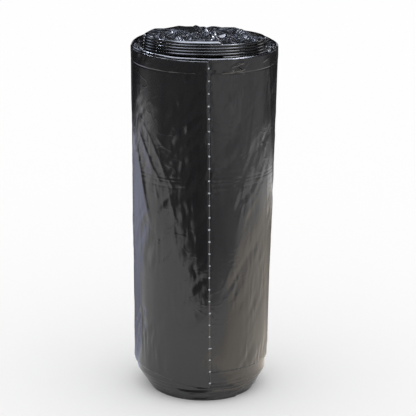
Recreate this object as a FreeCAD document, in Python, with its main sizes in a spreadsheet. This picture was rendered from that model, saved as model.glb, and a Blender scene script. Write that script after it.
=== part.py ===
import FreeCAD, Part
import math
import os
import Sketcher

# A coreless roll of heavy black polythene refuse sacks, standing on its end.
#
# The sacks are folded lengthwise and joined end to end as one web, which is wound up
# without a core. The roll is one solid: its turns can be seen at the free end, which
# runs down the front, on the foot, round the mouth and up the telescoped middle.
#
# Millimetres. +Z is up, the front is -Y, and the origin is under the middle of the foot.

doc = FreeCAD.newDocument("bin_bag_roll")


# Sizes

SIZES = {
    # the wound web
    "web_width": 280.0,          # height of every turn, a sack 1120 wide folded in four
    "rim_radius": 62.0,          # outermost turn at its upper edge
    "foot_radius": 57.8,         # the same turn at its lower edge, wound tighter there
    "turn_step": 0.9,            # how far the free end stands above the turn under it
    "second_rim_rise": 1.6,      # the next turn's edge stands this much above the first
    "wall_thick": 2.4,           # the outer turns together, as seen on the rim
    "end_angle": 5.8,            # the free end, this many degrees right of the front
    # the middle turns, which have slipped down
    "foot_drop": 19.0,           # how far they stand out under the outer turns
    "foot_inset": 1.3,           # each turn of the foot is this much inside the last
    "mouth_inset": 2.6,          # the same between the rim and the telescoped turns
    "foot_wall": 2.2,            # width of the ring that the roll stands on
    "recess_depth": 3.0,         # under the inner turns
    # the inner turns, which are pushed up and lean back
    "stack_rise": 8.6,           # top edge above the rim, on the axis
    "stack_tilt": 4.5,           # front high
    "stack_radius": 52.5,        # out to the lowest rounded edge
    "stack_pitch": 2.35,         # height from one turn's edge to the next
    "stack_shrink": 1.5,         # the last turn is this much inside the first
    "edge_stand": 1.1,           # how far a turn's rounded edge bulges
    "lip_end_angle": 17.0,       # the topmost edge runs out this far right of the front
    # the crumpled middle
    "crumple_base": 0.9,         # how far the crumpled film stands above the turns round it
    "crumple_height": 4.6,       # of its tallest fold
    "crumple_gap": 0.4,          # between it and the topmost rounded edge
    "crumple_depth": 6.0,        # how far it is sunk into the stack
    # the torn edge and ties down the free end, and the crease under the rim
    "edge_width": 3.4,
    "edge_proud": 0.25,
    "edge_margin": 0.6,          # short of the rim and of the foot
    "tie_count": 27,
    "tie_width": 2.4,
    "tie_height": 1.5,
    "tie_proud": 0.8,
    "tie_root": 1.2,             # how deep both are rooted in the turns
    "crease_drop": 11.5,
    "crease_height": 3.2,
    "crease_depth": 0.8,
}

FOOT_TURNS = 5                   # turns that can be told apart on the foot
MOUTH_TURNS = 3                  # in the mouth
STACK_TURNS = 5                  # up the telescoped middle

sheet = doc.addObject("Spreadsheet::Sheet", "sizes")
for row, (alias, value) in enumerate(SIZES.items(), start=1):
    sheet.set(f"A{row}", alias)
    sheet.set(f"B{row}", str(value))
    sheet.setAlias(f"B{row}", alias)
doc.recompute()

# places that several pieces share
RIM_HEIGHT = "(sizes.foot_drop + sizes.web_width)"
MOUTH_RADIUS = "(sizes.rim_radius - sizes.wall_thick)"
STACK_HEIGHT = f"(sizes.stack_pitch * {STACK_TURNS - 1})"
STACK_BASE = f"({RIM_HEIGHT} + sizes.stack_rise - sizes.stack_pitch / 2 - {STACK_HEIGHT})"


# Helpers for bodies and sketches

def new_body(name):
    body = doc.addObject("PartDesign::Body", name)
    body.Label = name
    return body


def origin_feature(body, role):
    return next(feature for feature in body.Origin.OriginFeatures if feature.Role == role)


def new_sketch(body, name, role):
    sketch = body.newObject("Sketcher::SketchObject", name)
    sketch.AttachmentSupport = [(origin_feature(body, role), "")]
    sketch.MapMode = "FlatFace"
    return sketch


def constrain(sketch, kind, *references):
    return sketch.addConstraint(Sketcher.Constraint(kind, *references))


def dimension(sketch, kind, *references, size, start=10.0):
    """Adds a dimension to a sketch and ties it to the sheet."""
    number = constrain(sketch, kind, *references, start)
    sketch.setExpression(f"Constraints[{number}]", size)


def outline(sketch, corners):
    """Draws a closed straight-sided outline. A corner is a pair of expressions, from the axes."""
    count = len(corners)
    spots = [FreeCAD.Vector(10 + i, 10 + i * i, 0) for i in range(count)]
    lines = [
        sketch.addGeometry(Part.LineSegment(spots[i], spots[(i + 1) % count]))
        for i in range(count)
    ]
    for i in range(count):
        constrain(sketch, "Coincident", lines[i], 2, lines[(i + 1) % count], 1)
    for line, (across, up) in zip(lines, corners):
        if across == "0":
            constrain(sketch, "PointOnObject", line, 1, -2)
        else:
            dimension(sketch, "DistanceX", -1, 1, line, 1, size=across)
        if up == "0":
            constrain(sketch, "PointOnObject", line, 1, -1)
        else:
            dimension(sketch, "DistanceY", -1, 1, line, 1, size=up)


def turned(body, kind, name, corners):
    """A Revolution or a Groove of an outline about the roll's axis."""
    sketch = new_sketch(body, name + "_section", "XZ_Plane")
    outline(sketch, corners)
    feature = body.newObject("PartDesign::" + kind, name)
    feature.Profile = sketch
    feature.ReferenceAxis = (sketch, ["V_Axis"])
    feature.Angle = 360
    return feature


# The wound turns: a spiral in plan, drawn in a little towards the foot

def half_turn(body, name, side, inset, shift):
    """Half a turn in plan, coned. Side is the angle of its middle round from the free end."""
    cone = body.newObject("PartDesign::AdditiveCone", name)
    cone.AttachmentSupport = [(origin_feature(body, "XY_Plane"), "")]
    cone.MapMode = "FlatFace"
    cone.Angle = 180
    cone.setExpression("Radius1", f"sizes.foot_radius - {inset}")
    cone.setExpression("Radius2", f"sizes.rim_radius - {inset}")
    cone.setExpression("Height", "sizes.web_width")
    cone.setExpression("AttachmentOffset.Base.x", f"-{shift} * sin(sizes.end_angle)")
    cone.setExpression("AttachmentOffset.Base.y", f"{shift} * cos(sizes.end_angle)")
    cone.setExpression("AttachmentOffset.Base.z", "sizes.foot_drop")
    cone.setExpression("AttachmentOffset.Rotation.Angle", f"{side} + sizes.end_angle")
    return cone


def foot_turn_radius(turn):
    return f"(sizes.foot_radius - sizes.foot_inset * {turn + 1})"


def foot_section():
    """The foot: each turn stands lower and further in than the one outside it."""
    buried = "sizes.foot_drop * 2"
    corners = [("0", "0"), ("0", buried), (foot_turn_radius(0), buried)]
    for turn in range(FOOT_TURNS):
        low = f"sizes.foot_drop * {FOOT_TURNS - 1 - turn} / {FOOT_TURNS}"
        corners.append((foot_turn_radius(turn), low))
        if turn < FOOT_TURNS - 1:
            corners.append((foot_turn_radius(turn + 1), low))
    return corners


def mouth_section():
    """The mouth: the same turns seen from above, stepping down to the telescoped middle."""
    level = f"{RIM_HEIGHT} + sizes.foot_drop"
    corners = [("0", level)]
    for turn in range(MOUTH_TURNS):
        radius = f"{MOUTH_RADIUS} - sizes.mouth_inset * {turn}"
        corners.append((radius, level))
        level = f"{RIM_HEIGHT} - sizes.foot_drop * {turn + 1} / {MOUTH_TURNS}"
        corners.append((radius, level))
    corners.append(("0", level))
    return corners


def recess_section():
    """The underside: the inner turns stand a little clear of the ring that the roll rests on."""
    below = "-sizes.foot_drop"
    ring = f"{foot_turn_radius(FOOT_TURNS - 1)} - sizes.foot_wall"
    return [("0", below), (ring, below), (ring, "sizes.recess_depth"), ("0", "sizes.recess_depth")]


def make_wound_turns():
    body = new_body("wound_turns")

    # two half circles about two centres, ending a turn's step inside where they began
    half_turn(body, "turn_on_the_left", 90, "0", "0")
    half_turn(body, "turn_on_the_right", 270, "sizes.turn_step / 2", "sizes.turn_step / 2")

    # the turn under the outermost one stands a little higher on the rim
    second_top = f"{RIM_HEIGHT} + sizes.second_rim_rise"
    turned(body, "Revolution", "second_rim", [
        (MOUTH_RADIUS, f"{RIM_HEIGHT} - sizes.crease_drop"),
        ("sizes.rim_radius - 2 * sizes.turn_step", f"{RIM_HEIGHT} - sizes.crease_drop"),
        ("sizes.rim_radius - 1.4 * sizes.turn_step", f"{RIM_HEIGHT} + sizes.second_rim_rise / 2"),
        ("sizes.rim_radius - 1.7 * sizes.turn_step", second_top),
        (MOUTH_RADIUS, second_top),
    ])
    turned(body, "Revolution", "foot_turns", foot_section())
    turned(body, "Groove", "mouth", mouth_section())
    turned(body, "Groove", "recess", recess_section())

    # the crease pressed all round, a little under the rim
    crease = f"{RIM_HEIGHT} - sizes.crease_drop"
    turned(body, "Groove", "rim_crease", [
        ("sizes.rim_radius - sizes.crease_depth", crease),
        ("sizes.rim_radius + sizes.crease_depth", f"{crease} - sizes.crease_height / 2"),
        ("sizes.rim_radius + sizes.crease_depth", f"{crease} + sizes.crease_height / 2"),
    ])
    doc.recompute()
    return body


# The telescoped turns: pushed up out of the mouth, each further than the one outside it

def lean_back(body):
    """Sets a body on the roll's axis where the telescoped turns start, with its front high."""
    body.Placement.Rotation = FreeCAD.Rotation(FreeCAD.Vector(-1, 0, 0), 1)
    body.setExpression("Placement.Rotation.Angle", "sizes.stack_tilt")
    body.setExpression("Placement.Base.z", STACK_BASE)


def edge_corners(turn):
    """The rounded edge of one turn of folded web, as three flats between two creases."""
    reach = f"sizes.stack_radius - sizes.stack_shrink * {turn} / {STACK_TURNS - 1}"
    middle = f"sizes.stack_pitch * {turn}"
    return [
        (f"{reach} - sizes.edge_stand", f"{middle} - sizes.stack_pitch / 2"),
        (reach, f"{middle} - sizes.stack_pitch / 5"),
        (reach, f"{middle} + sizes.stack_pitch / 5"),
        (f"{reach} - sizes.edge_stand", f"{middle} + sizes.stack_pitch / 2"),
    ]


def make_telescoped_turns():
    body = new_body("telescoped_turns")
    last = STACK_TURNS - 1
    sunk = "-sizes.foot_drop - sizes.stack_rise"
    core = "sizes.stack_radius - sizes.edge_stand / 2"
    corners = [("0", sunk), (core, sunk), (core, "-sizes.stack_pitch / 2")]
    for turn in range(last):
        corners += edge_corners(turn)[turn > 0:]
    corners.append(("0", f"sizes.stack_pitch * {last - 1} + sizes.stack_pitch / 2"))
    turned(body, "Revolution", "lower_edges", corners)

    # the topmost edge runs out a little right of the front
    inner = "sizes.stack_radius - sizes.stack_shrink - 2 * sizes.edge_stand"
    outer = "sizes.stack_radius - sizes.stack_shrink - sizes.edge_stand"
    rooted = f"sizes.stack_pitch * {last - 1}"
    ridge = edge_corners(last)
    upper = ridge[-1][1]
    lip = [(outer, rooted), *ridge, (inner, upper), (inner, rooted)]
    topmost = turned(body, "Revolution", "topmost_edge", lip)
    topmost.setExpression("Angle", "270 + sizes.lip_end_angle")
    lean_back(body)
    doc.recompute()
    return body


# The crumpled middle: the innermost turns, pushed in on themselves in sharp folds

CRUMPLE_RINGS = 15

# each fold's crest: from, to, how wide it is each side, and its height. They are for a
# crumpled middle of CREST_RADIUS, and keep their shape if the roll is resized.
CREST_RADIUS = 48.4
CRESTS = [
    ((-50, 8), (-6, 46), 15.0, 3.6),      # a smooth slope up to the back
    ((-11, 48), (3, 16), 6.0, 4.6),       # the highest point, at its corner
    ((3, 26), (10, -2), 4.0, 4.4),        # a narrow fold beside the hollow
    ((0, 49), (36, 34), 7.0, 3.0),
    ((18, 34), (42, -8), 6.0, 3.6),
    ((36, -2), (45, -28), 4.0, 3.0),
    ((-45, 2), (-37, -24), 4.0, 2.8),
    ((-28, 4), (-12, -38), 5.0, 2.8),
    ((-17, 12), (-2, -38), 5.0, 3.8),
    ((-3, 10), (12, -38), 5.0, 3.6),
    ((14, -10), (26, -36), 4.5, 2.8),
]
HOLLOW = ((4, 22), (28, -14), 6.0, -3.4)
HIGHEST_CREST = max(height for _, _, _, height in CRESTS)


def fold(x, y, crest):
    """Height of one sharp fold at a place."""
    (from_x, from_y), (to_x, to_y), width, height = crest
    length = math.hypot(to_x - from_x, to_y - from_y)
    run_x = (to_x - from_x) / length
    run_y = (to_y - from_y) / length
    along = ((x - from_x) * run_x + (y - from_y) * run_y) / length
    across = abs((y - from_y) * run_x - (x - from_x) * run_y)
    if across >= width or not 0 < along < 1:
        return 0.0
    return height * (1 - across / width) * (1 - (2 * along - 1) ** 4)


def crumple_shape(x, y, radius):
    """Height of the crumpled film as a share of its tallest fold."""
    x = x * CREST_RADIUS / radius
    y = y * CREST_RADIUS / radius
    height = max(fold(x, y, crest) for crest in CRESTS) + fold(x, y, HOLLOW)
    edge = 1 - (math.hypot(x, y) / CREST_RADIUS) ** 8
    return height / HIGHEST_CREST * edge


def make_crumpled_middle():
    radius = sheet.stack_radius - sheet.stack_shrink - 2 * sheet.edge_stand - sheet.crumple_gap
    top = sheet.stack_pitch * (STACK_TURNS - 1) + sheet.crumple_base
    bottom = top - sheet.crumple_depth

    def point(ring, place):
        angle = math.pi * place / (3 * ring) if ring else 0.0
        x = radius * ring / CRUMPLE_RINGS * math.cos(angle)
        y = radius * ring / CRUMPLE_RINGS * math.sin(angle)
        return FreeCAD.Vector(x, y, top + sheet.crumple_height * crumple_shape(x, y, radius))

    def face(*corners):
        return Part.Face(Part.makePolygon([*corners, corners[0]]))

    # six wedges of triangles, with one more in each row than in the row inside it
    faces = []
    for ring in range(1, CRUMPLE_RINGS + 1):
        for wedge in range(6):
            for place in range(ring):
                outer = point(ring, wedge * ring + place)
                outer_next = point(ring, wedge * ring + place + 1)
                inner = point(ring - 1, wedge * (ring - 1) + place)
                faces.append(face(outer, outer_next, inner))
                if place < ring - 1:
                    inner_next = point(ring - 1, wedge * (ring - 1) + place + 1)
                    faces.append(face(outer_next, inner_next, inner))

    # a straight skirt and a flat bottom, sunk into the stack
    rim = [point(CRUMPLE_RINGS, place) for place in range(6 * CRUMPLE_RINGS)]
    foot = [FreeCAD.Vector(corner.x, corner.y, bottom) for corner in rim]
    for place in range(len(rim)):
        before = place - 1
        faces.append(face(rim[before], rim[place], foot[place], foot[before]))
    faces.append(face(*foot))

    crumple = doc.addObject("Part::Feature", "crumpled_middle")
    crumple.Label = "crumpled_middle"
    crumple.Shape = Part.makeSolid(Part.makeShell(faces))
    lean_back(crumple)
    doc.recompute()
    return crumple


# The free end: its torn edge, and the stubs of the ties that the last sack hung on

FOOT_X = "sizes.foot_radius * sin(sizes.end_angle)"
FOOT_Y = "-sizes.foot_radius * cos(sizes.end_angle)"
RIM_X = "sizes.rim_radius * sin(sizes.end_angle)"
RIM_Y = "-sizes.rim_radius * cos(sizes.end_angle)"


def flat_bar(body, name, width, bottom, top, stand):
    """A bar along the free end, as wide, high and proud as given, rooted in the turns."""
    sketch = new_sketch(body, name + "_outline", "XZ_Plane")
    outline(sketch, [
        (f"-{width} / 2", bottom),
        (f"{width} / 2", bottom),
        (f"{width} / 2", top),
        (f"-{width} / 2", top),
    ])
    bar = body.newObject("PartDesign::Pad", name)
    bar.Profile = sketch
    bar.SideType = "Two sides"
    bar.setExpression("Length", stand)
    bar.setExpression("Length2", "sizes.tie_root")
    doc.recompute()
    return bar


def make_torn_end():
    body = new_body("torn_end")
    flat_bar(
        body, "torn_edge", "sizes.edge_width",
        "sizes.edge_margin", "sizes.web_width - sizes.edge_margin", "sizes.edge_proud",
    )
    middle = "sizes.web_width / sizes.tie_count / 2"
    tie = flat_bar(
        body, "tie", "sizes.tie_width",
        f"{middle} - sizes.tie_height / 2", f"{middle} + sizes.tie_height / 2", "sizes.tie_proud",
    )
    row = body.newObject("PartDesign::LinearPattern", "row_of_ties")
    row.Originals = [tie]
    row.Direction = (origin_feature(body, "Z_Axis"), [""])
    row.setExpression("Length", "sizes.web_width * (sizes.tie_count - 1) / sizes.tie_count")
    row.setExpression("Occurrences", "sizes.tie_count")
    body.Tip = row

    # it stands where the two half turns meet, on the slope of the wall
    upright = "create(<<vector>>; 0; 0; 1)"
    slope = f"create(<<vector>>; {RIM_X} - {FOOT_X}; {RIM_Y} - {FOOT_Y}; sizes.web_width)"
    start = f"create(<<vector>>; {FOOT_X}; {FOOT_Y}; sizes.foot_drop)"
    turn = f"create(<<rotation>>; {upright}; {slope})"
    body.setExpression("Placement", f"create(<<placement>>; {start}; {turn})")
    doc.recompute()
    return body


# The roll: one solid

def make_roll():
    roll = doc.addObject("Part::MultiFuse", "bag_roll")
    roll.Label = "bag_roll"
    roll.Shapes = [
        make_wound_turns(),
        make_telescoped_turns(),
        make_crumpled_middle(),
        make_torn_end(),
    ]
    roll.Placement = FreeCAD.Placement()
    doc.recompute()
    return roll


bag_roll = make_roll()

for item in doc.Objects:
    if "Invalid" in item.State or "Error" in item.State:
        raise RuntimeError(f"{item.Name} failed: {item.State}")
if bag_roll.Shape.isNull() or not bag_roll.Shape.isValid() or len(bag_roll.Shape.Solids) != 1:
    raise RuntimeError("bag_roll isn't one valid solid")

os.makedirs("parts", exist_ok=True)
bag_roll.Shape.exportStep(f"parts/{bag_roll.Label}.step")
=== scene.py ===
import math
import random
from bisect import bisect

import bmesh
import bpy
from mathutils import Matrix, Vector, noise


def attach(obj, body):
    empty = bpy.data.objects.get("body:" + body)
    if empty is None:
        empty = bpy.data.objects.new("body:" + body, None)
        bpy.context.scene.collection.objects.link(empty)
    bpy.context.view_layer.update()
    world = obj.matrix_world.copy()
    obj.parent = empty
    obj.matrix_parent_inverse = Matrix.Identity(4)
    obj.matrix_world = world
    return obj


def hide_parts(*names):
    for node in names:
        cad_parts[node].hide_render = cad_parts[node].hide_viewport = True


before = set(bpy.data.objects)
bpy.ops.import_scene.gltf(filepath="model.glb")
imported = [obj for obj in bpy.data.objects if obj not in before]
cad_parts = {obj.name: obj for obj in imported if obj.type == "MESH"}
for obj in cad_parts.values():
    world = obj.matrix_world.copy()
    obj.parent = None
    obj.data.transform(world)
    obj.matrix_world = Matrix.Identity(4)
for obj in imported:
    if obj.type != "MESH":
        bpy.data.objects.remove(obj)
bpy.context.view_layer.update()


# The crumpled middle
# The innermost turns of the web have no core to hold them, so they have caved in. They are
# thin low-density polythene film, and lie over one another in sharp folds, level with the lip.

MM = 0.001
RIM_HEIGHT = 299.0
STACK_TOP = 307.0                # the telescoped turns' top edge, on the roll's axis
STACK_TILT = math.radians(4.5)
CRUMPLE_RADIUS = 49.8
CRUMPLE_CELLS = 250
TUCKED_DEPTH = 4.0               # how far its edge runs down inside the topmost turn
CARBON_BLACK = "#0f0f11"
DUSTED_BLACK = "#19191b"
DUST_PATCH = 38.0


def linear(hex_colour):
    """A colour written as sRGB hex, as the linear values that a socket takes."""
    parts = [int(hex_colour[i:i + 2], 16) / 255 for i in (1, 3, 5)]
    return (*[p / 12.92 if p <= 0.04045 else ((p + 0.055) / 1.055) ** 2.4 for p in parts], 1.0)


def add_node(tree, kind, settings=None, inputs=None):
    """A node with its settings, and its inputs as values or as another node's output."""
    node = tree.nodes.new(kind)
    for name, value in (settings or {}).items():
        setattr(node, name, value)
    for name, value in (inputs or {}).items():
        if isinstance(value, bpy.types.NodeSocket):
            tree.links.new(value, node.inputs[name])
        else:
            node.inputs[name].default_value = value
    return node


def times(tree, first, second):
    """Two outputs, or an output and a number, multiplied."""
    product = add_node(tree, "ShaderNodeMath", {"operation": "MULTIPLY"}, {0: first, 1: second})
    return product.outputs[0]


def black_film(name, ripple_mm, ripple_height_mm, crease_mm, crease_height_mm, sharpness=0.05):
    """Blown polythene film, black with carbon: a slick skin, with fine ripples and small creases.

    The skin gives clear, thin reflections, and the film under it softer ones. Ripples are
    stretched along the roll, as a web under tension has them, and slip dust dulls it in patches.
    The finest creases of real film would not show, so the smallest here are 2 to 3 mm apart.
    """
    material = bpy.data.materials.new(name)
    material.use_nodes = True
    tree = material.node_tree
    tree.nodes.clear()
    place = add_node(tree, "ShaderNodeTexCoord").outputs["Object"]
    dust = add_node(tree, "ShaderNodeTexNoise", None,
                    {"Vector": place, "Scale": 1 / (DUST_PATCH * MM), "Detail": 5.0,
                     "Roughness": 0.6})
    colour = add_node(tree, "ShaderNodeMix", {"data_type": "RGBA"},
                      {"Factor": dust.outputs["Fac"]})
    colour.inputs["A"].default_value = linear(CARBON_BLACK)
    colour.inputs["B"].default_value = linear(DUSTED_BLACK)
    rough = add_node(tree, "ShaderNodeMapRange", None,
                     {"Value": dust.outputs["Fac"], "From Min": 0.3, "From Max": 0.7,
                      "To Min": 0.12, "To Max": 0.24})
    along = add_node(tree, "ShaderNodeMapping", None,
                     {"Vector": place, "Scale": (1.0, 1.0, 0.12)})
    ripples = add_node(tree, "ShaderNodeTexNoise", None,
                       {"Vector": along.outputs["Vector"], "Scale": 1 / (ripple_mm * MM),
                        "Detail": 4.0, "Roughness": 0.5})
    bump = add_node(tree, "ShaderNodeBump", None,
                    {"Height": ripples.outputs["Fac"], "Distance": ripple_height_mm * MM})
    # small creases lie where a noise passes through its middle value
    veins = add_node(tree, "ShaderNodeTexNoise", None,
                     {"Vector": place, "Scale": 1 / (crease_mm * MM), "Detail": 1.5,
                      "Distortion": 0.6})
    off_line = add_node(tree, "ShaderNodeMath", {"operation": "SUBTRACT"},
                        {0: veins.outputs["Fac"], 1: 0.5})
    near_line = add_node(tree, "ShaderNodeMath", {"operation": "ABSOLUTE"},
                         {0: off_line.outputs[0]})
    crest = add_node(tree, "ShaderNodeMapRange", {"interpolation_type": "SMOOTHSTEP"},
                     {"Value": near_line.outputs[0], "From Min": 0.0, "From Max": 0.05,
                      "To Min": 1.0, "To Max": 0.0})
    patchy = times(tree, crest.outputs["Result"], dust.outputs["Fac"])
    wrinkled = add_node(tree, "ShaderNodeBump", None,
                        {"Height": patchy, "Distance": crease_height_mm * MM,
                         "Normal": bump.outputs["Normal"]}).outputs["Normal"]
    skin = add_node(tree, "ShaderNodeBsdfPrincipled", None,
                    {"Base Color": colour.outputs["Result"], "Roughness": rough.outputs["Result"],
                     "IOR": 1.5, "Coat Weight": 0.6, "Coat Roughness": sharpness,
                     "Normal": wrinkled, "Coat Normal": wrinkled})
    add_node(tree, "ShaderNodeOutputMaterial", None, {"Surface": skin.outputs["BSDF"]})
    return material


def add_object(name, bm, material):
    """The mesh drawn so far, as an object of one material."""
    mesh = bpy.data.meshes.new(name)
    bm.to_mesh(mesh)
    bm.free()
    mesh.materials.append(material)
    thing = bpy.data.objects.new(name, mesh)
    bpy.context.scene.collection.objects.link(thing)
    return thing


def finish_film(name, bm, material):
    """Closes a piece's seams, turns its faces outwards, and sets it in the frame."""
    bmesh.ops.remove_doubles(bm, verts=bm.verts, dist=0.01 * MM)
    bmesh.ops.recalc_face_normals(bm, faces=bm.faces)
    for face in bm.faces:
        face.smooth = True
    piece = add_object(name, bm, material)
    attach(piece, "root")
    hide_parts("bag_roll")
    return piece


def lean_back(bm):
    """Tilts a piece with the telescoped turns, about the roll's axis at their top edge."""
    bmesh.ops.rotate(bm, verts=bm.verts, cent=(0, 0, STACK_TOP * MM),
                     matrix=Matrix.Rotation(-STACK_TILT, 3, "X"))


def clamp(value):
    """The value, held between 0 and 1."""
    return max(0.0, min(1.0, value))


def bell(value, middle, width):
    """1 at the middle of a bell curve, and about a third at a width from it."""
    return math.exp(-((value - middle) / width) ** 2)


def tent(x, y, fold):
    """Height of one sharp fold at a place. It leans: one side of its crest is steeper."""
    (from_x, from_y), (to_x, to_y), width, height, lean = fold
    run_x, run_y = to_x - from_x, to_y - from_y
    length = math.hypot(run_x, run_y)
    run_x, run_y = run_x / length, run_y / length
    along = ((x - from_x) * run_x + (y - from_y) * run_y) / length
    if not 0 < along < 1:
        return 0.0
    across = (y - from_y) * run_x - (x - from_x) * run_y
    side = width * (1 + lean if across > 0 else 1 - lean)
    if abs(across) >= side:
        return 0.0
    return height * (1 - abs(across) / side) * (1 - (2 * along - 1) ** 4)


def facets(x, y, cell, stretch, turn_degrees, seed):
    """Height, from -1 to 1, of film creased into flat triangles, longer one way than the other."""
    turn = math.radians(turn_degrees)
    along = (x * math.cos(turn) + y * math.sin(turn)) / (cell * stretch)
    across = (y * math.cos(turn) - x * math.sin(turn)) / cell
    bend = noise.noise(Vector((along * 0.7, across * 0.35, seed)))
    along, across = along + 0.5 * across + 0.35 * bend, across + 0.9 * bend
    column, row = math.floor(along), math.floor(across)
    right, up = along - column, across - row

    def corner(step_right, step_up):
        return noise.cell(Vector((column + step_right + 0.5, row + step_up + 0.5, seed + 0.5)))

    if right + up < 1:
        start = corner(0, 0)
        height = start + right * (corner(1, 0) - start) + up * (corner(0, 1) - start)
    else:
        start = corner(1, 1)
        height = start + (1 - right) * (corner(0, 1) - start) + (1 - up) * (corner(1, 0) - start)
    return 2 * height - 1


def crests(x, y, cell, stretch, turn_degrees, seed):
    """Height, from 0 to 1, of sharp crests that wander between smooth hollows."""
    turn = math.radians(turn_degrees)
    along = (x * math.cos(turn) + y * math.sin(turn)) / (cell * stretch)
    across = (y * math.cos(turn) - x * math.sin(turn)) / cell
    return max(0.0, 1 - 2.4 * abs(noise.noise(Vector((along, across, seed)))))


def creased(x, y, layers):
    """Height of small creases, added up from layers of facets and crests.

    A layer is (facets or crests, height, cell, stretch, turn in degrees, seed).
    """
    return sum(height * kind(x, y, *shape) for kind, height, *shape in layers)


# the folds that stand out: from, to, half width, height, lean
LARGE_FOLDS = [
    ((-50, 8), (-6, 46), 15.0, 3.6, -0.3),       # the smooth slope up to the back edge
    ((-11, 48), (3, 16), 6.0, 4.2, 0.2),         # its corner, the highest point
    ((3, 26), (10, -2), 2.4, 4.0, -0.3),         # a narrow bright fold beside a hollow
    ((0, 49), (36, 34), 7.0, 2.6, 0.2),
    ((18, 34), (42, -8), 6.0, 3.0, 0.3),
    ((36, -2), (45, -28), 2.4, 2.6, 0.2),
    ((31, 6), (36, -8), 1.8, 2.2, 0.0),
    ((-45, 2), (-37, -24), 2.2, 2.2, 0.2),
    ((-40, 4), (-33, -20), 2.0, 1.8, 0.2),
    ((-30, 14), (-22, 2), 2.4, 2.2, 0.3),
    ((-28, 4), (-12, -38), 5.0, 2.2, 0.2),
    ((-17, 12), (-2, -38), 4.6, 3.2, -0.2),
    ((-3, 10), (12, -38), 4.6, 3.0, 0.2),
    ((14, -10), (26, -36), 4.0, 2.4, -0.2),
]
HOLLOW = ((4, 22), (28, -14), 6.0, -3.4, 0.2)
CRUMPLE_CREASES = [
    (facets, 0.80, 9.0, 2.2, 104, 3),
    (facets, 0.55, 4.6, 2.6, 122, 7),
    (facets, 0.22, 2.8, 3.0, 80, 12),
    (facets, 0.06, 1.8, 3.0, 30, 17),
    (crests, 0.45, 5.0, 3.0, 118, 3.3),
    (crests, 0.30, 3.0, 3.4, 70, 9.1),
    (crests, 0.08, 1.7, 3.4, 20, 14.7),
]
BROAD_FACETS = [(facets, 0.6, 12.0, 1.6, 40, 21)]
CREASE_DROP = 0.2                # crests only rise, so the creases are set down this much
EDGE_DROP = 3.0                  # the film curves down this much at its edge
SPILL = 3.4                      # and spills over the topmost turn this far, behind


def busy(x, y):
    """How crumpled the film is at a place: most in the front half, little behind."""
    out = math.hypot((x - 2) / 33, (y + 12) / 25)
    out += 0.35 * noise.noise(Vector((x / 12, y / 12, 6.1)))
    return 0.12 + 0.88 * clamp((1.25 - out) / 0.4)


def crumple_reach(angle):
    """The crumpled film stays inside the topmost edge at the front and spills over it behind."""
    behind = clamp((abs(angle + 8) - 72) / 26)
    return CRUMPLE_RADIUS + SPILL * behind * behind * (3 - 2 * behind)


def make_crumpled_middle():
    bm = bmesh.new()
    bmesh.ops.create_grid(bm, x_segments=CRUMPLE_CELLS, y_segments=CRUMPLE_CELLS, size=1.0)
    for vert in bm.verts:
        # the square of film, gathered in to a disc
        across, up = vert.co.x, vert.co.y
        x = across * math.sqrt(1 - up * up / 2)
        y = up * math.sqrt(1 - across * across / 2)
        edge = math.hypot(x, y)
        reach = crumple_reach(math.degrees(math.atan2(x, -y)))
        x, y = x * reach, y * reach
        inside = max(0.0, 1 - edge ** 9)
        height = max(tent(x, y, fold) for fold in LARGE_FOLDS) + tent(x, y, HOLLOW)
        height *= 0.5 + 0.5 * inside
        fine = creased(x, y, CRUMPLE_CREASES) - CREASE_DROP
        height += fine * busy(x, y) * (0.25 + 0.75 * inside)
        height += creased(x, y, BROAD_FACETS)
        height += 0.5 - EDGE_DROP * edge ** 14
        vert.co = Vector((x, y, STACK_TOP + height)) * MM
    # the edge is tucked down inside the topmost turn
    rim = [edge for edge in bm.edges if edge.is_boundary]
    skirt = bmesh.ops.extrude_edge_only(bm, edges=rim)["geom"]
    tucked = [item for item in skirt if isinstance(item, bmesh.types.BMVert)]
    bmesh.ops.translate(bm, verts=tucked, vec=(0, 0, -TUCKED_DEPTH * MM))
    bmesh.ops.scale(bm, verts=tucked, vec=(0.96, 0.96, 1.0))
    lean_back(bm)
    film = black_film("black polythene film, crumpled", 3.0, 0.03, 2.4, 0.05)
    return finish_film("crumpled_middle", bm, film)


make_crumpled_middle()


# The telescoped turns
# The turns round the middle have slid up out of the roll, each a little further than the one
# outside it, so that the folded edges of the web show as a screw of rounded ridges.

STACK_RADIUS = 52.5
STACK_PITCH = 2.35
STACK_TURNS = 5
STACK_SHRINK = 1.5               # the last turn is this much inside the first
EDGE_STAND = 1.15                # how far a folded edge bulges
LIP_ANGLE = 17.0                 # the last turn's edge runs out this far right of the front
LIP_OPEN = 46.0                  # over these last degrees its edge lies open
LIP_WIDTH = 1.7                  # how wide it lies open
LIP_ROUND = 3.0                  # its end is rounded off over these last degrees
LIP_TUCK = 1.2                   # its rounded end runs in by this much
RIDGE_CUTS = 9
RIDGE_STEPS = 200                # round one turn
RIDGE_WANDER = 0.18              # how unevenly the ridges lie, sideways and in height
RIDGE_SAG = 0.14
STACK_FOOT = 280.0               # the turns' plain side runs down to here


def at(radius, angle, height):
    """A point so many degrees right of the front, in millimetres, as a place in metres."""
    turn = math.radians(angle)
    return Vector((radius * math.sin(turn), -radius * math.cos(turn), height)) * MM


def angle_of(point):
    """How many degrees right of the front a point is, from -180 to 180."""
    return math.degrees(math.atan2(point.x, -point.y))


def draw_path(bm, path):
    """Vertices and edges through the (radius, height) points of a profile, at the front."""
    row = [bm.verts.new(at(radius, 0, height)) for radius, height in path]
    return row, [bm.edges.new(pair) for pair in zip(row, row[1:])]


def spin_round(bm, geom, steps):
    """Sweeps a profile once round the roll's axis, and joins its end to its start."""
    bmesh.ops.spin(bm, geom=geom, cent=(0, 0, 0), axis=(0, 0, 1), dvec=(0, 0, 0),
                   angle=2 * math.pi, steps=steps, use_merge=True, use_duplicate=False)


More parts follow.
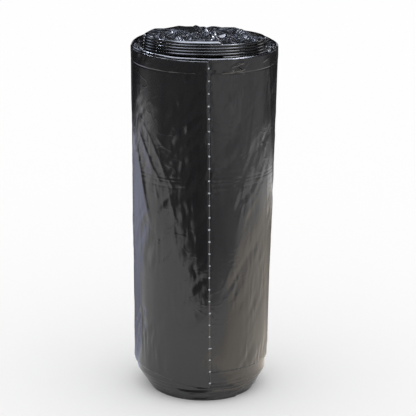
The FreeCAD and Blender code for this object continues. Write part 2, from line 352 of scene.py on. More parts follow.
def make_telescoped_turns():
    bm = bmesh.new()
    start = STACK_TOP - STACK_PITCH * STACK_TURNS
    ridge = []
    for cut in range(RIDGE_CUTS + 1):
        bulge = math.pi * (cut / RIDGE_CUTS - 0.5)
        radius = STACK_RADIUS - EDGE_STAND * (1 - math.cos(bulge) ** 0.8)
        ridge.append(bm.verts.new(at(radius, LIP_ANGLE, start + STACK_PITCH / 2 * math.sin(bulge))))
    edges = [bm.edges.new(pair) for pair in zip(ridge, ridge[1:])]
    steps = STACK_TURNS * RIDGE_STEPS
    bmesh.ops.spin(bm, geom=ridge + edges, cent=(0, 0, 0), axis=(0, 0, 1),
                   dvec=(0, 0, STACK_PITCH * STACK_TURNS / steps * MM),
                   angle=2 * math.pi * STACK_TURNS, steps=steps, use_duplicate=False)
    for vert in bm.verts:
        height = vert.co.z / MM
        angle = angle_of(vert.co)
        # how many turns up the screw this place is, and how far off the middle of its ridge
        part = ((angle - LIP_ANGLE) % 360) / 360 if abs(angle - LIP_ANGLE) > 0.01 else 0.0
        turns = part + round((height - start) / STACK_PITCH - part)
        off = height - start - STACK_PITCH * turns
        if turns > STACK_TURNS + 0.01:
            turns -= 1
            off += STACK_PITCH
        loose = 1 - (2 * off / STACK_PITCH) ** 2
        wander = RIDGE_WANDER * loose * noise.noise(Vector((angle / 34, turns, 0.7)))
        sag = RIDGE_SAG * loose * noise.noise(Vector((angle / 20, turns, 5.2)))
        shrink = STACK_SHRINK * (height - start) / (STACK_PITCH * (STACK_TURNS - 1))
        radius = Vector(vert.co.xy).length / MM - shrink + wander
        # near its end the topmost edge lies open, and its end is rounded off
        opened = clamp((turns - STACK_TURNS + LIP_OPEN / 360) * 40)
        rounded = math.sqrt(clamp((STACK_TURNS - turns) * 360 / LIP_ROUND))
        if off > 0 and opened:
            slope = LIP_WIDTH * off / (STACK_PITCH / 2)
            flat = STACK_RADIUS - shrink - slope
            radius += (flat - radius) * opened
        if turns > STACK_TURNS - 1:
            off *= rounded
            radius -= LIP_TUCK * (1 - rounded)
        vert.co = at(radius, angle, start + STACK_PITCH * turns + off + sag)
    # the plain side of the turns, down into the mouth
    radius = STACK_RADIUS - EDGE_STAND
    side, edges = draw_path(bm, [(radius, STACK_FOOT), (radius, start)])
    spin_round(bm, side + edges, 180)
    lean_back(bm)
    film = black_film("black polythene film, folded edge", 5.0, 0.015, 5.0, 0.01)
    return finish_film("telescoped_turns", bm, film)


make_telescoped_turns()


# The film in the mouth
# Between the outer turns and the telescoped ones, loose film stands up in crumpled folds. It
# fills the gap on the right nearly to the rim, and shows as a few bits on the left.

MOUTH_INNER = 50.8
MOUTH_OUTER = 60.2
MOUTH_DEPTH = 9.0                # under the rim, where no loose film stands
MOUTH_FOLDS = 170
MOUTH_CUTS = 18                  # across the gap
MOUTH_STEPS = 540                # round it
FOLD_REACH = 14                  # degrees, further than any fold here runs
RIGHT_HEAP = (84, 26)            # where it stands up: degrees right of the front, half width
LEFT_HEAP = (-88, 24)
RIGHT_RISE = 7.0                 # how far it stands up there
LEFT_RISE = 3.5


def make_mouth_film():
    pick = random.Random(5)
    bm = bmesh.new()
    gap = MOUTH_OUTER - MOUTH_INNER
    row, edges = draw_path(bm, [(MOUTH_INNER + gap * cut / MOUTH_CUTS, 0)
                                for cut in range(MOUTH_CUTS + 1)])
    spin_round(bm, row + edges, MOUTH_STEPS)
    folds = []
    for _ in range(MOUTH_FOLDS):
        angle = pick.uniform(-180, 180)
        radius = pick.uniform(51, 60)
        turn = angle + pick.uniform(-7, 7)
        reach = radius + pick.uniform(-6, 6)
        width = pick.uniform(0.8, 2.2)
        folds.append(((angle, radius), (turn, reach), width, width * pick.uniform(0.5, 1.3)))
    for vert in bm.verts:
        angle = angle_of(vert.co)
        radius = Vector(vert.co.xy).length / MM
        x, y = radius * math.sin(math.radians(angle)), radius * math.cos(math.radians(angle))
        height = 0.0
        for (from_angle, from_radius), (to_angle, to_radius), width, rise in folds:
            if abs(angle - from_angle) > FOLD_REACH:
                continue
            first, last = math.radians(from_angle), math.radians(to_angle)
            start = (from_radius * math.sin(first), from_radius * math.cos(first))
            end = (to_radius * math.sin(last), to_radius * math.cos(last))
            height += tent(x, y, (start, end, width, rise, 0.2))
        right, left = bell(angle, *RIGHT_HEAP), bell(angle, *LEFT_HEAP)
        between = math.sin(math.pi * (radius - MOUTH_INNER) / gap)
        level = RIM_HEIGHT - MOUTH_DEPTH + height * (0.7 + 0.8 * right + 0.5 * left)
        level += (RIGHT_RISE * right + LEFT_RISE * left) * (0.35 + 0.65 * between)
        vert.co.z = level * MM
    film = black_film("black polythene film, loose", 4.0, 0.2, 5.0, 0.3)
    return finish_film("mouth_film", bm, film)


make_mouth_film()


# The foot
# The middle turns have slipped down and a little forward, so at the bottom each stands lower
# and further in than the one outside it. The roll rests on the lowest; the underside is plain.

FOOT_RADIUS = 57.8
# radius and height of the plain film that runs up inside the outermost turn
UPPER_FOOT = [(FOOT_RADIUS - 1.6, 46.0), (FOOT_RADIUS - 1.8, 30.0)]
FOOT_DROP = 19.0                 # from the highest turn's edge down to the lowest
FOOT_TURNS = 5
FOOT_INSET = 2.45                # each turn stands this much further in than the last
FOOT_SLIP = (1.4, -4.0)          # how far the lowest turn has slid, right and forward
FOOT_RING = 42.5                 # inner radius of the ring that the roll rests on
FOOT_RECESS = 3.0
FOOT_END = 41.0                  # the lowest turn ends this many degrees right of the front
FOOT_END_STEP = 1.1              # it steps in there by this much, near the bottom only
FOOT_END_HEIGHT = 5.0
FOOT_TILT = 1.6                  # the turns' edges stand this much higher behind
FOOT_WANDER = 0.25               # how unevenly they lie, sideways and in height
FOOT_SAG = 0.5


def make_foot():
    bm = bmesh.new()
    path = list(UPPER_FOOT)
    for turn in range(FOOT_TURNS):
        edge = FOOT_DROP * (FOOT_TURNS - 1 - turn) / FOOT_TURNS
        radius = FOOT_RADIUS - FOOT_INSET * (turn + 1)
        if turn == 0:
            path.append((radius + 0.1, edge + 3.4))
        path += [(radius, edge + 1.0), (radius - 0.1, edge + 0.3), (radius - 0.5, edge)]
        if edge > 0:
            # the gap up to the next turn in
            path += [(radius - FOOT_INSET + 0.4, edge + 0.6), (radius - FOOT_INSET, edge + 0.2)]
    path += [(FOOT_RING, 0.0), (FOOT_RING, FOOT_RECESS)]
    edges = draw_path(bm, path)[1]
    bmesh.ops.subdivide_edges(bm, edges=[edge for edge in edges if edge.calc_length() > 2 * MM],
                              cuts=5)
    spin_round(bm, bm.verts[:] + bm.edges[:], 360)
    for vert in bm.verts:
        angle = angle_of(vert.co)
        radius = Vector(vert.co.xy).length / MM
        height = vert.co.z / MM
        slip = 1 - min(1.0, height / FOOT_DROP)
        slipped = Vector((FOOT_SLIP[0], FOOT_SLIP[1], 0)) * slip * MM
        if radius <= FOOT_RING + 0.01:
            vert.co += slipped
            continue
        up = min(1.0, height / 6)
        share = ((angle - FOOT_END) % 360) / 360
        radius -= FOOT_END_STEP * (1 - share) * max(0.0, 1 - height / FOOT_END_HEIGHT)
        radius += FOOT_WANDER * noise.noise(Vector((angle / 18, height / 5, 2.0)))
        height += up * (FOOT_TILT * (1 - math.cos(math.radians(angle + 8))) / 2
                        + FOOT_SAG * noise.noise(Vector((angle / 30, height / 4, 9.0))))
        vert.co = at(radius, angle, height) + slipped
    rim = [edge for edge in bm.edges if edge.is_boundary and edge.verts[0].co.z < 5 * MM]
    bmesh.ops.contextual_create(bm, geom=rim)
    film = black_film("black polythene film, foot", 6.0, 0.12, 14.0, 0.06)
    return finish_film("foot_turns", bm, film)


make_foot()


# The second turn's edge
# Just inside the outermost turn the next one stands about a millimetre and a half higher. Its
# edge is the bright line round the rim, and it is wound from the same film.

SECOND_RISE = 1.6
SECOND_PROFILE = [               # radius, and how far down from the edge's top
    (61.0, 9.0), (61.0, 1.0), (60.95, 0.85), (59.9, 0.08), (59.75, 0.0), (59.6, 0.15),
    (59.5, 1.0), (59.3, 14.0),
]
SECOND_DIP = 0.9                 # its edge is this much lower on the right
SECOND_WANDER = 0.16             # how unevenly it lies, sideways and in height
SECOND_SAG = 0.3


def make_second_edge():
    bm = bmesh.new()
    top = RIM_HEIGHT + SECOND_RISE
    edges = draw_path(bm, [(radius, top - deep) for radius, deep in SECOND_PROFILE])[1]
    bmesh.ops.subdivide_edges(bm, edges=[edges[0], edges[-1]], cuts=6)
    spin_round(bm, bm.verts[:] + bm.edges[:], 480)
    for vert in bm.verts:
        angle = angle_of(vert.co)
        radius = Vector(vert.co.xy).length / MM
        height = vert.co.z / MM
        radius += SECOND_WANDER * noise.noise(Vector((angle / 14, height / 9, 4.0)))
        dip = SECOND_DIP * bell(angle, 75, 60)
        height += SECOND_SAG * noise.noise(Vector((angle / 16, 0.0, 8.0))) - dip
        vert.co = at(radius, angle, height)
    film = black_film("black polythene film, second turn", 4.0, 0.1, 8.0, 0.08)
    return finish_film("second_turn_edge", bm, film)


make_second_edge()


# The outermost turn
# The last sack's film goes once round and laps under itself. Its torn end runs down the
# front, a little askew. It is a little loose, so handling has dented, puckered and creased it.

RIM_RADIUS = 62.0
TURN_STEP = 0.9                  # how far the torn end stands above the turn under it
END_TOP = 3.3                    # the torn end, in degrees right of the front, at the rim
END_FOOT = 8.2                   # and at the foot
END_HEIGHTS = (298.0, 18.0)      # where those two were measured
LAP = 12.0                       # degrees that the turn runs on under itself
WALL_COLUMNS = 500
WALL_ROWS = 196
CREASE_HEIGHT = 287.5            # the crease all round, under the rim
LINES_HEIGHT = 195.0             # the middle of the three faint lines further down
ROUND_CREASES = [                # creases right round: height, depth, half width
    (CREASE_HEIGHT, 0.30, 0.75), (198.0, 0.12, 0.9), (195.4, 0.09, 0.8), (191.0, 0.10, 1.0),
]
TUCK_DEGREES = 1.1               # the torn end is turned in over this much
TUCK_DEPTH = 0.8
HEM_SHARE = 0.022                # share of the rows in the lower hem; the upper has twice that
HEM_DEPTH = 0.9
EDGE_ROUND = 0.5                 # how much height the rounding of an edge takes
WALL_SOFTNESS = 0.7              # the folds' heights are drawn at this share
BROAD_DENT = 0.34                # how far it is dented, and buckled in upright strips
UPRIGHT_DENT = 0.10
END_CRINKLE = 0.16               # beside the torn end it is crinkled by this much
WALL_CREASES = [
    (facets, 0.22, 7.0, 3.0, 64, 31), (facets, 0.12, 3.6, 2.6, 100, 37),
    (crests, 0.10, 9.0, 3.0, 75, 41.3),
]
SEAM_AT = -100                   # degrees: left of this, places are counted from the other end
BACK_FOLDS = 46

# creases and puckers in the wall: from, to (degrees, height), half width, height, lean
WALL_FOLDS = [
    ((-64, 236), (-35, 192), 5.0, 0.55, -0.45),
    ((-66, 222), (-45, 150), 8.0, 1.10, -0.5),
    ((-47, 232), (-22, 186), 3.6, 0.40, -0.4),
    ((-38, 226), (-18, 150), 3.4, 0.34, -0.4),
    ((-56, 240), (-45, 228), 2.0, 0.25, -0.2),
    ((-27, 206), (-20, 128), 4.0, 0.30, -0.5),
    ((-66, 280), (-60, 226), 5.0, 0.35, -0.4),
    ((-54, 154), (-30, 148.5), 1.3, 0.22, 0.3),
    ((-34, 149.5), (-8, 147.5), 1.3, 0.18, 0.3),
    ((-40, 232), (-30, 222), 2.2, 0.22, 0.2),
    ((-33, 214), (-25, 206), 1.8, 0.22, 0.2),
    ((-44, 208), (-35, 205), 1.5, 0.22, 0.3),
    ((-14, 276), (5, 228), 1.5, 0.13, 0.3),
    ((-62, 120), (-60, 26), 5.0, 0.45, -0.4),
    ((-56, 66), (-54, 26), 2.0, 0.22, 0.0),
    ((12, 238.2), (25.5, 237.2), 1.3, 0.22, 0.4),
    ((33, 286), (29, 238), 3.0, 0.30, 0.0),
    ((46, 280), (37, 205), 5.0, 0.36, 0.4),
    ((24, 266), (17, 216), 3.6, 0.26, -0.3),
    ((54, 264), (51, 204), 4.0, 0.28, 0.3),
    ((50, 227), (61, 218), 1.2, 0.28, 0.3),
    ((20, 121), (31, 119.5), 1.3, 0.22, 0.3),
    ((28, 130), (15, 96), 3.0, 0.16, 0.4),
    ((5, 215), (15, 210.5), 1.3, 0.14, 0.0),
    ((38, 212), (29, 150), 5.0, 0.24, 0.5),
    ((42, 178), (34, 150), 4.0, 0.20, -0.3),
    ((62, 286), (72, 190), 4.0, 0.30, 0.3),
    ((64, 204), (68, 120), 3.0, 0.28, -0.3),
    ((34, 190), (58, 172), 3.0, 0.14, 0.3),
    ((-34, 112), (-20, 82), 4.0, 0.14, -0.2),
    ((33, 296.3), (19, 292.5), 1.8, 1.7, -0.35),
    ((34, 290.6), (12, 288.0), 1.8, 1.6, -0.35),
    ((24, 294.5), (32, 286), 1.7, 1.4, 0.35),
    ((37, 296.5), (31, 290.5), 1.1, 0.6, -0.3),
    ((28, 291.5), (16, 291), 1.0, 0.7, -0.3),
    ((60, 296), (50, 293), 1.2, 0.6, -0.3),
]


def wall_fold_heights():
    """The same folds on the flat film, in millimetres along it, and a few more behind."""
    pick = random.Random(23)
    folds = list(WALL_FOLDS)
    for _ in range(BACK_FOLDS):
        angle, height = pick.uniform(75, 285), pick.uniform(30, 280)
        slant = pick.uniform(-16, 16)
        drop = pick.uniform(12, 60)
        folds.append(((angle, height), (angle + slant, height - drop),
                      pick.uniform(1.2, 5.0), pick.uniform(0.12, 0.5), pick.uniform(-0.6, 0.6)))
    degree = math.radians(1) * RIM_RADIUS
    flat = []
    for (from_angle, from_height), (to_angle, to_height), width, height, lean in folds:
        flat.append(((from_angle * degree, from_height), (to_angle * degree, to_height),
                     width, height, lean))
    return flat


def dent(angle, height, folds):
    """How far the wall stands out of its even cone at a place."""
    flat = math.radians(angle) * RIM_RADIUS
    out = 0.0
    for fold in folds:
        (from_x, from_y), (to_x, to_y), width, rise, lean = fold
        if (min(from_x, to_x) - 12 < flat < max(from_x, to_x) + 12
                and to_y - 14 < height < from_y + 14):
            share = tent(flat, height, fold) / rise
            out += WALL_SOFTNESS * rise * share * (0.35 + share * share * (1.95 - 1.3 * share))
    turn = math.radians(angle)
    ring = Vector((math.sin(turn), -math.cos(turn), 0)) * RIM_RADIUS
    broad = noise.noise(Vector((ring.x / 30, ring.y / 30, height / 60)))
    upright = noise.noise(Vector((ring.x / 8, ring.y / 8, height / 90 + 7)))
    patchy = clamp(0.5 + 2.2 * noise.noise(Vector((flat / 34, height / 42, 11))))
    small = creased(flat, height, WALL_CREASES)
    # they fade out where the flat film is counted from the other end
    small *= min(1.0, abs(flat - math.radians(SEAM_AT) * RIM_RADIUS) / 6)
    out += BROAD_DENT * broad + UPRIGHT_DENT * upright + small * patchy
    for line, deep, wide in ROUND_CREASES:
        wander = 0.5 * noise.noise(Vector((ring.x / 25, ring.y / 25, line)))
        fading = 0.75 + 0.5 * noise.noise(Vector((ring.x / 12, ring.y / 12, line + 3)))
        out -= deep * fading * max(0.0, 1 - abs(height + wander - line) / wide)
    return out


# the film's lower edge: degrees back from the torn end, height
LOWER_EDGE = [
    (0, 14.0), (20, 17.0), (40, 20.0), (66, 22.6), (98, 23.0), (180, 24.0), (270, 24.5),
    (300, 27.5), (330, 28.6), (373, 27.5),
]


def lower_edge(turned):
    """Height of the film's lower edge, so many degrees back from the torn end."""
    for (from_turned, from_height), (to_turned, to_height) in zip(LOWER_EDGE, LOWER_EDGE[1:]):
        if turned <= to_turned:
            share = (turned - from_turned) / (to_turned - from_turned)
            return from_height + share * (to_height - from_height)


UPPER_DROP = 0.6                 # at the torn end its upper edge is this far under the rim
UPPER_RISE = 1.4                 # and it rises by this much, once round


def upper_edge(turned):
    """Height of its upper edge, so many degrees back from the torn end."""
    return RIM_HEIGHT - UPPER_DROP + UPPER_RISE * clamp(turned / 360)


def end_angle(height):
    """Where the torn end is at a height, in degrees right of the front."""
    top, foot = END_HEIGHTS
    return END_TOP + (END_FOOT - END_TOP) * (top - height) / (top - foot)


def wall_radius(height):
    """Radius of the torn end at a height. The roll is a little wider at the rim."""
    taper = (height - FOOT_DROP) / (RIM_HEIGHT - FOOT_DROP)
    return FOOT_RADIUS + (RIM_RADIUS - FOOT_RADIUS) * taper


def crowding(height):
    """How closely the rows stand at a height: closest where fine creases run across."""
    under_rim = 1.0 / (1 + math.exp(282 - height))
    return (1 + 1.2 * under_rim + 3.0 * bell(height, CREASE_HEIGHT, 3.5)
            + 1.6 * bell(height, LINES_HEIGHT, 5))


ROW_STEP = 0.2
ROW_COUNTS = [0.0]               # rows needed up to each height, in steps
while len(ROW_COUNTS) * ROW_STEP < RIM_HEIGHT + 4:
    ROW_COUNTS.append(ROW_COUNTS[-1] + crowding((len(ROW_COUNTS) - 1) * ROW_STEP))


def rows_below(height):
    """How many rows, in steps, it takes from the ground up to a height."""
    step = height / ROW_STEP
    whole = int(step)
    return ROW_COUNTS[whole] + (step - whole) * (ROW_COUNTS[whole + 1] - ROW_COUNTS[whole])


def row_height(share, low, high):
    """The height of a row that has this share of the rows between two heights below it."""
    wanted = rows_below(low) + share * (rows_below(high) - rows_below(low))
    whole = bisect(ROW_COUNTS, wanted) - 1
    rest = (wanted - ROW_COUNTS[whole]) / (ROW_COUNTS[whole + 1] - ROW_COUNTS[whole])
    return (whole + rest) * ROW_STEP


def make_outer_turn():
    bm = bmesh.new()
    bmesh.ops.create_grid(bm, x_segments=WALL_COLUMNS, y_segments=WALL_ROWS, size=1.0)
    folds = wall_fold_heights()
    for vert in bm.verts:
        # the flat film, wound on from its torn end
        turned = (vert.co.x + 1) / 2 * (360 + LAP)
        share = (vert.co.y + 1) / 2
        low, high = lower_edge(turned), upper_edge(turned)
        inward = 0.0
        if share < HEM_SHARE:
            fold = 1 - share / HEM_SHARE
            inward = HEM_DEPTH * fold
            height = low + EDGE_ROUND * fold
        elif share > 1 - 2 * HEM_SHARE:
            # rounded over the rim, and then down inside it
            fold = (share - 1 + 2 * HEM_SHARE) / (2 * HEM_SHARE)
            inward = min(1.0, 1.6 * fold) + 0.3 * fold
            height = high - EDGE_ROUND * (1 - min(1.0, 2 * fold)) ** 2
            height -= 6.0 * max(0.0, fold - 0.5)
        else:
            height = row_height((share - HEM_SHARE) / (1 - 3 * HEM_SHARE), low, high - EDGE_ROUND)
        askew = end_angle(height)
        angle = askew - turned
        radius = wall_radius(height) - TURN_STEP * turned / 360
        tuck = max(0.0, 1 - turned / TUCK_DEGREES)
        place = (angle + 180) % 360 - 180
        lifted = dent(place if place > SEAM_AT else place + 360, height, folds)
        crinkle = END_CRINKLE * bell(place, askew, 4)
        crinkle *= noise.noise(Vector((place / 2.2, height / 2.6, 1.0)))
        radius += (lifted + crinkle) * (1 - tuck) - inward - TUCK_DEPTH * tuck ** 2
        vert.co = at(radius, angle, height)
    film = black_film("black polythene film, outer turn", 7.0, 0.10, 16.0, 0.05, 0.15)
    return finish_film("outer_turn", bm, film)


make_outer_turn()


# The torn end
# The last sack was torn off along its perforation. The ties between the cuts have stretched
# until they whitened, and a thin pale line of torn film joins them.

TIE_COUNT = 27
TIE_TOP = 292.8
TIE_SPACING = 10.52
TIE_DEPTH = 0.45                 # how far a tie stands out to each side of the film
WIDE_TIE = 23                    # this one has stretched sideways as well
WIDE_TIE_SIZE = (1.9, 0.6)
LINE_TOP = 297.2
LINE_LENGTH = 280                # in steps of a millimetre
LINE_LEFT = 0.12                 # its left side stands out from the torn end
LINE_RIGHT = -0.10               # and its right side lies in
STRETCHED_FILM = ("#6c7074", "#cfd3d8")
TORN_FILM = ("#222427", "#6e7276")


def stretched_film(name, hex_colours):
    """Polythene drawn out until it whitens: dull, with fine grain."""
    material = bpy.data.materials.new(name)
    material.use_nodes = True
    tree = material.node_tree
    tree.nodes.clear()
    place = add_node(tree, "ShaderNodeTexCoord").outputs["Object"]
    grain = add_node(tree, "ShaderNodeTexNoise", None,
                     {"Vector": place, "Scale": 1 / (0.6 * MM), "Detail": 3.0})
    colour = add_node(tree, "ShaderNodeMix", {"data_type": "RGBA"},
                      {"Factor": grain.outputs["Fac"]})
    colour.inputs["A"].default_value = linear(hex_colours[0])
    colour.inputs["B"].default_value = linear(hex_colours[1])
    bump = add_node(tree, "ShaderNodeBump", None,
                    {"Height": grain.outputs["Fac"], "Distance": 0.1 * MM})
    skin = add_node(tree, "ShaderNodeBsdfPrincipled", None,
                    {"Base Color": colour.outputs["Result"], "Roughness": 0.45, "IOR": 1.5,
                     "Normal": bump.outputs["Normal"]})
    add_node(tree, "ShaderNodeOutputMaterial", None, {"Surface": skin.outputs["BSDF"]})
    return material


def make_ties():
    pick = random.Random(3)
    bm = bmesh.new()
    for number in range(TIE_COUNT):
        height = TIE_TOP - TIE_SPACING * number
        made = bmesh.ops.create_icosphere(bm, subdivisions=1, radius=1.0 * MM)["verts"]
        width, tall = pick.uniform(0.8, 1.15), pick.uniform(0.7, 1.0)
        if number == WIDE_TIE:
            width, tall = WIDE_TIE_SIZE
        bmesh.ops.scale(bm, verts=made, vec=(width, TIE_DEPTH, tall))
        bmesh.ops.rotate(bm, verts=made, cent=(0, 0, 0),
                         matrix=Matrix.Rotation(pick.uniform(-0.5, 0.5), 3, "Y"))
        bmesh.ops.rotate(bm, verts=made, cent=(0, 0, 0),
                         matrix=Matrix.Rotation(math.radians(end_angle(height)), 3, "Z"))
        angle = end_angle(height) - 0.2 + pick.uniform(-0.2, 0.2)
        spot = at(wall_radius(height) + 0.05, angle, height)
        bmesh.ops.translate(bm, verts=made, vec=spot)
    return finish_film("ties", bm, stretched_film("stretched polythene", STRETCHED_FILM))


def make_torn_line():
    pick = random.Random(8)
    bm = bmesh.new()
    before = None
    for step in range(LINE_LENGTH + 1):
        height = LINE_TOP - step
        width = pick.uniform(0.2, 0.55)
        middle = end_angle(height) + pick.uniform(-0.1, 0.1)
        half = math.degrees(width / 2 / RIM_RADIUS)
        pair = [bm.verts.new(at(wall_radius(height) + LINE_LEFT, middle - half, height)),
                bm.verts.new(at(wall_radius(height) + LINE_RIGHT, middle + half, height))]
        if before:
            bm.faces.new((before[0], before[1], pair[1], pair[0]))
        before = pair
    return finish_film("torn_line", bm, stretched_film("torn polythene edge", TORN_FILM))


make_ties()
make_torn_line()


# The table and the room
# A pale table top, which the film reflects low down, with this outline seen from above. The
# room round it is dimmer, darkest at the front left, and shows only in the film's gloss.

PALE_TOP = "#fefefe"
ROOM_COLOUR = "#f9f8fb"
ROOM_FADE = 1.3                  # the table's light has faded this much further out
TABLE_OUTLINE = [
    (0.021, -0.243), (0.091, -0.225), (0.139, -0.230), (0.193, -0.223), (0.259, -0.210),
    (0.446, -0.253), (0.596, -0.211), (0.623, -0.080), (0.680, 0.066), (0.60, 0.30),
    (0.45, 0.50), (-0.40, 0.55), (-0.80, 0.35), (-0.80, 0.02), (-0.70, -0.146),
    (-0.525, -0.234), (-0.454, -0.318), (-0.424, -0.42), (-0.268, -0.391), (-0.167, -0.368),
    (-0.075, -0.295), (-0.025, -0.278),
]


def make_table_top():
    bm = bmesh.new()
    bmesh.ops.create_grid(bm, x_segments=8, y_segments=8, size=9.0)
    material = bpy.data.materials.new("pale matt laminate")
    material.use_nodes = True
    skin = material.node_tree.nodes["Principled BSDF"]
    skin.inputs["Base Color"].default_value = linear(PALE_TOP)
    skin.inputs["Roughness"].default_value = 0.7
    skin.inputs["Specular IOR Level"].default_value = 0.0
    top = add_object("table_top", bm, material)


def glow(name, nodes_for):
    """A surface that gives off a dim light of its own, which its own nodes set."""
    material = bpy.data.materials.new(name)
    material.use_nodes = True
    tree = material.node_tree
    tree.nodes.clear()
    light = add_node(tree, "ShaderNodeEmission")
    nodes_for(tree, light)
    add_node(tree, "ShaderNodeOutputMaterial", None, {"Surface": light.outputs["Emission"]})
    material.cycles.emission_sampling = "NONE"
    return material


def fade_out(tree, light, near, far):
    """Runs a glow's strength from one value to another across its soft border."""
    border = add_node(tree, "ShaderNodeAttribute", {"attribute_name": "border"})
    strength = add_node(tree, "ShaderNodeMapRange", {"interpolation_type": "SMOOTHSTEP"},
                        {"Value": border.outputs["Fac"], "To Min": near, "To Max": far})
    tree.links.new(strength.outputs["Result"], light.inputs["Strength"])


def room_light(tree, light):
    """Dim on the front left, paler on the front right, with a step near the middle.

    It falls off far to the right, high up, behind and close to the table. Angles are in
    radians and places in metres.
    """
    place = add_node(tree, "ShaderNodeTexCoord").outputs["Object"]
    axes = add_node(tree, "ShaderNodeSeparateXYZ", None, {"Vector": place})
    slope = add_node(tree, "ShaderNodeMath", {"operation": "ARCTAN2"},
                     {0: axes.outputs["X"], 1: times(tree, axes.outputs["Y"], -1.0)})
    right = add_node(tree, "ShaderNodeMapRange", {"interpolation_type": "SMOOTHSTEP"},
                     {"Value": slope.outputs[0], "From Min": 0.04, "From Max": 0.30,
                      "To Min": 0.15, "To Max": 0.62})
    aside = add_node(tree, "ShaderNodeMapRange", None,
                     {"Value": slope.outputs[0], "From Min": 0.7, "From Max": 2.3,
                      "To Min": 1.0, "To Max": 0.5})
    distance = add_node(tree, "ShaderNodeVectorMath", {"operation": "LENGTH"}, {0: place})
    closer = add_node(tree, "ShaderNodeMapRange", None,
                      {"Value": distance.outputs["Value"], "From Min": 0.6, "From Max": 1.0,
                       "To Min": 0.62, "To Max": 1.0})
    raised = add_node(tree, "ShaderNodeMapRange", None,
                      {"Value": axes.outputs["Z"], "From Min": 0.2, "From Max": 1.0,
                       "To Min": 1.0, "To Max": 0.25})
    behind = add_node(tree, "ShaderNodeMapRange", {"interpolation_type": "SMOOTHSTEP"},
                      {"Value": axes.outputs["Y"], "From Min": 0.1, "From Max": 0.9,
                       "To Min": 1.0, "To Max": 0.12})
    # what stands about in the room makes it uneven
    clutter = add_node(tree, "ShaderNodeTexNoise", None,
                       {"Vector": place, "Scale": 3.4, "Detail": 3.0, "Roughness": 0.6})
    uneven = add_node(tree, "ShaderNodeMapRange", None,
                      {"Value": clutter.outputs["Fac"], "From Min": 0.3, "From Max": 0.7,
                       "To Min": 0.4, "To Max": 1.75})
    level = right.outputs["Result"]
    for share in (aside, raised, closer, behind, uneven):
        level = times(tree, level, share.outputs["Result"])
    light.inputs["Color"].default_value = linear(ROOM_COLOUR)
    fade_out(tree, light, 1.0, level)


def only_in_gloss(thing):
    """Leaves a stage object out of all but what the film reflects."""
    thing.visible_camera = False
    thing.visible_diffuse = False
    thing.visible_transmission = False
    thing.visible_shadow = False


def make_room():
    bm = bmesh.new()
    border = bm.verts.layers.float.new("border")
    corners = [bm.verts.new((x, y, 0.001)) for x, y in TABLE_OUTLINE]
    loop = [bm.edges.new((corners[i - 1], corners[i])) for i in range(len(corners))]
    # the fade, the floor further out, the walls and the slope of the ceiling
    for reach, rise in ((ROOM_FADE, 0.0), (2.4, 0.0), (1.0, 1.2), (0.6, 0.8)):
        grown = bmesh.ops.extrude_edge_only(bm, edges=loop)["geom"]
        moved = [item for item in grown if isinstance(item, bmesh.types.BMVert)]
        loop = [item for item in grown if isinstance(item, bmesh.types.BMEdge)]
        bmesh.ops.scale(bm, verts=moved, vec=(reach, reach, 1))
        bmesh.ops.translate(bm, verts=moved, vec=(0, 0, rise))
        for vert in moved:
            vert[border] = 1.0
    bmesh.ops.contextual_create(bm, geom=loop)
    only_in_gloss(add_object("dim_room", bm, glow("dim room", room_light)))


CARD_FADE = 1.3                  # a card's soft edge runs out to this size
SHARP_EDGE = 1.001


def make_card(name, corners, hex_colour, strength, fade=CARD_FADE):
    """A board on the table with a soft edge.

    Its corners are (degrees right of the front, distance, share of its full strength).
    """
    bm = bmesh.new()
    border = bm.verts.layers.float.new("border")
    share = bm.verts.layers.float.new("share")
    verts = []
    for angle, distance, part in corners:
        turn = math.radians(angle)
        spot = (distance * math.sin(turn), -distance * math.cos(turn), 0.002)
        verts.append(bm.verts.new(spot))
        verts[-1][share] = part
    middle = sum((vert.co for vert in verts), Vector()) / len(verts)
    board = bm.faces.new(verts)
    bmesh.ops.triangulate(bm, faces=[board])
    edge = [item for item in bm.edges if item.is_boundary]
    grown = bmesh.ops.extrude_edge_only(bm, edges=edge)["geom"]
    for vert in grown:
        if isinstance(vert, bmesh.types.BMVert):
            vert.co.xy = middle.xy + (vert.co.xy - middle.xy) * fade
            vert[border] = 1.0

    def card_light(tree, light):
        light.inputs["Color"].default_value = linear(hex_colour)
        part = add_node(tree, "ShaderNodeAttribute", {"attribute_name": "share"})
        fade_out(tree, light, times(tree, part.outputs["Fac"], strength), 1.0)

    only_in_gloss(add_object(name, bm, glow(name.replace("_", " "), card_light)))


# a warm board on the right lights the film's lower right, a cool one behind its left edge
WARM_CARD = [
    (24, 0.115, 1), (44, 0.15, 1), (56, 0.27, 1), (68, 0.37, 1), (84, 0.42, 1),
    (100, 0.46, 0.85), (118, 0.48, 0.6), (136, 0.50, 0.3), (154, 0.50, 0.1),
    (154, 0.09, 0.1), (136, 0.095, 0.3), (118, 0.10, 0.6), (95, 0.105, 0.9), (50, 0.105, 1),
]
COOL_CARD = [
    (-116, 0.12, 0.40), (-117, 0.30, 0.60), (-114, 0.42, 0.8), (-106, 0.50, 1), (-106, 0.58, 1),
    (-118, 0.66, 0.9), (-134, 0.72, 0.55), (-154, 0.75, 0.15), (-154, 0.09, 0.1),
    (-134, 0.10, 0.35),
]
# a dark one right behind it keeps the film's outermost edges dark
DARK_CARD = [
    (154, 0.07, 1), (154, 1.6, 1), (180, 1.6, 1), (206, 1.6, 1), (206, 0.07, 1), (180, 0.06, 1),
]


make_table_top()
make_room()
make_card("warm_card", WARM_CARD, "#fff5e8", 1.4)
make_card("cool_card", COOL_CARD, "#e2e5ff", 1.3)
make_card("dark_card", DARK_CARD, "#f0f0ff", 0.06, SHARP_EDGE)


# The light and the camera
# Even white light from all round, and soft lamps that show only as glints in the film. The
# camera stands well back and looks down at 17 degrees, as in the photograph.

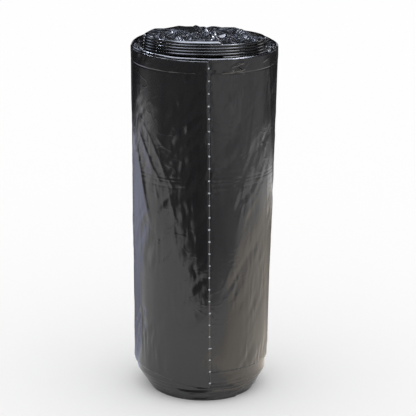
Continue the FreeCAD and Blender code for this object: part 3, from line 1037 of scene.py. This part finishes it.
CAMERA_PLACE = (0.00448, -1.63127, 0.65551)
CAMERA_AIM = (0.00448, 0.0, 0.15674)
CAMERA_ROLL = 0.0137
CAMERA_LENS = 173.08


def make_lamp(name, place, aim, size, radiance, hex_colour):
    """A soft lamp, so wide and deep, that shows only as a glint in the film."""
    lamp = bpy.data.lights.new(name, "AREA")
    lamp.shape = "RECTANGLE"
    lamp.size, lamp.size_y = size
    lamp.energy = radiance * math.pi * size[0] * size[1]
    lamp.color = linear(hex_colour)[:3]
    holder = bpy.data.objects.new(name, lamp)
    holder.location = place
    holder.rotation_euler = (Vector(aim) - Vector(place)).to_track_quat("-Z", "Y").to_euler()
    holder.visible_diffuse = False
    bpy.context.scene.collection.objects.link(holder)


TOP = (0.0, 0.0, 0.31)

# overhead, in front and to the sides, for the light lines on the ridges, rim and creases
make_lamp("lamp_overhead", (0.0, 0.1, 1.4), TOP, (1.7, 0.9), 8.5, "#dfe6f6")
make_lamp("lamp_front", (0.0, -1.0, 1.35), TOP, (1.1, 0.30), 5.0, "#e6ecfa")
make_lamp("lamp_right", (0.85, -0.62, 1.25), TOP, (0.9, 0.55), 5.0, "#f4f1ec")
make_lamp("lamp_left", (-0.85, -0.62, 1.25), TOP, (0.9, 0.55), 3.5, "#e2eaff")

# three small strong ones, for sharp glints on the crumpled folds
make_lamp("lamp_glint_left", (-0.75, 0.7, 1.2), TOP, (0.16, 0.16), 45.0, "#dfe8ff")
make_lamp("lamp_glint_right", (0.5, 0.5, 1.5), TOP, (0.16, 0.16), 45.0, "#eef2ff")
make_lamp("lamp_glint_front", (0.35, -0.8, 1.5), TOP, (0.14, 0.14), 45.0, "#eef2ff")

# behind and low down, dimmer, for the film that is seen nearly edge on
make_lamp("lamp_behind", (0.0, 1.5, 1.3), TOP, (1.3, 0.24), 1.3, "#d8e2fa")
make_lamp("lamp_behind_left", (-1.2, 1.25, 0.85), TOP, (0.7, 0.45), 1.8, "#d8e2fa")
make_lamp("lamp_behind_right", (1.2, 1.25, 0.85), TOP, (0.7, 0.45), 1.3, "#eeeef2")
make_lamp("lamp_low_left", (-0.33, 1.6, 0.38), TOP, (0.22, 0.25), 1.5, "#e6ecff")
make_lamp("lamp_low_right", (0.36, 1.6, 0.38), TOP, (0.22, 0.25), 1.5, "#f2f2ff")

world = bpy.data.worlds.new("even light")
world.use_nodes = True
world.node_tree.nodes["Background"].inputs["Color"].default_value = (1, 1, 1, 1)
world.node_tree.nodes["Background"].inputs["Strength"].default_value = 1.0
bpy.context.scene.world = world

camera_data = bpy.data.cameras.new("camera")
camera_data.sensor_width = 36.0
camera_data.lens = CAMERA_LENS
camera = bpy.data.objects.new("camera", camera_data)
look = (Vector(CAMERA_AIM) - Vector(CAMERA_PLACE)).to_track_quat("-Z", "Y").to_matrix().to_4x4()
camera.matrix_world = (Matrix.Translation(CAMERA_PLACE) @ look
                       @ Matrix.Rotation(CAMERA_ROLL, 4, "Z"))
bpy.context.scene.collection.objects.link(camera)
bpy.context.scene.camera = camera

bpy.context.scene.view_settings.view_transform = "Standard"
